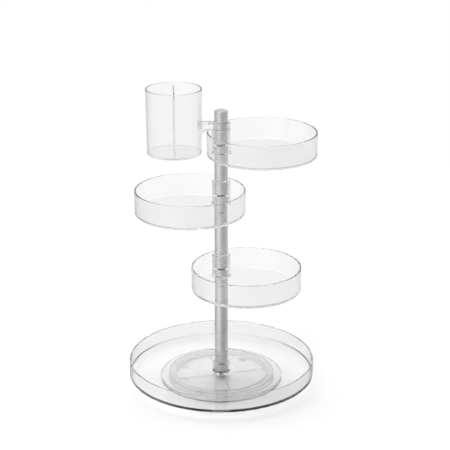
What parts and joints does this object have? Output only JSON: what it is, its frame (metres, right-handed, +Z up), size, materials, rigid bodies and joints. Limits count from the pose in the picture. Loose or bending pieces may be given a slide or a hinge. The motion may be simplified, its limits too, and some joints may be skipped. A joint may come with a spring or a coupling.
{
  "type": "rotating makeup organizer",
  "caption": "Clear tabletop makeup organizer: a turntable tray with a metal post, round open trays that swivel on the post at different heights, and a divided brush cup on a swinging arm.",
  "frame": {"origin": "on the table, under the axis of the post, which is also the middle of the turntable tray", "axes": "+Z up along the post; -Y towards the viewer; +X to the viewer's right"},
  "size_m": [0.282, 0.282, 0.4631],
  "materials": {
    "clear_acrylic": "clear, polished",
    "brushed_aluminium": "finely brushed across the tube",
    "plug_aluminium": "turned",
    "steel": "plain",
    "nylon": "natural, satin",
    "rubber": "matte"
  },
  "bodies": {
    "foot": {"foot_disc": "clear_acrylic", "foot_pads": "rubber", "glide_ring": "nylon"},
    "turntable": {"base_tray": "clear_acrylic", "pivot_washer": "steel", "pivot_screw": "steel", "post_end_cap": "brushed_aluminium", "post_tube_lower": "brushed_aluminium", "post_tube_middle": "brushed_aluminium", "post_tube_upper": "brushed_aluminium", "post_tube_top": "brushed_aluminium", "post_plug_lower_bottom": "plug_aluminium", "post_plug_lower_top": "plug_aluminium", "post_plug_middle_bottom": "plug_aluminium", "post_plug_middle_top": "plug_aluminium", "post_plug_upper_bottom": "plug_aluminium", "post_plug_upper_top": "plug_aluminium", "post_plug_top_bottom": "plug_aluminium", "lower_joint_stud": "steel", "middle_joint_stud": "steel", "upper_joint_stud": "steel", "lower_swivel_bush": "nylon", "middle_swivel_bush": "nylon", "upper_swivel_bush": "nylon"},
    "lower_swivel": {"lower_tray": "clear_acrylic"},
    "middle_swivel": {"middle_tray": "clear_acrylic"},
    "upper_swivel": {"upper_tray": "clear_acrylic"},
    "cup_arm_body": {"cup_arm": "clear_acrylic", "arm_washer": "nylon", "brush_cup": "clear_acrylic", "cup_divider": "clear_acrylic"}
  },
  "joints": [
    {"name": "turntable_spin", "type": "hinge", "parent": "foot", "child": "turntable", "pos_m": [0, 0, 0.011], "axis": [0, 0, 1], "continuous": true},
    {"name": "lower_tray_swivel", "type": "hinge", "parent": "turntable", "child": "lower_swivel", "pos_m": [0, 0, 0.184], "axis": [0, 0, 1], "continuous": true},
    {"name": "middle_tray_swivel", "type": "hinge", "parent": "turntable", "child": "middle_swivel", "pos_m": [0, 0, 0.3], "axis": [0, 0, 1], "continuous": true},
    {"name": "upper_tray_swivel", "type": "hinge", "parent": "turntable", "child": "upper_swivel", "pos_m": [0, 0, 0.377], "axis": [0, 0, 1], "continuous": true},
    {"name": "cup_swing", "type": "hinge", "parent": "upper_swivel", "child": "cup_arm_body", "pos_m": [0, 0, 0.405], "axis": [0, 0, 1], "range_deg": [-50, 20]}
  ]
}
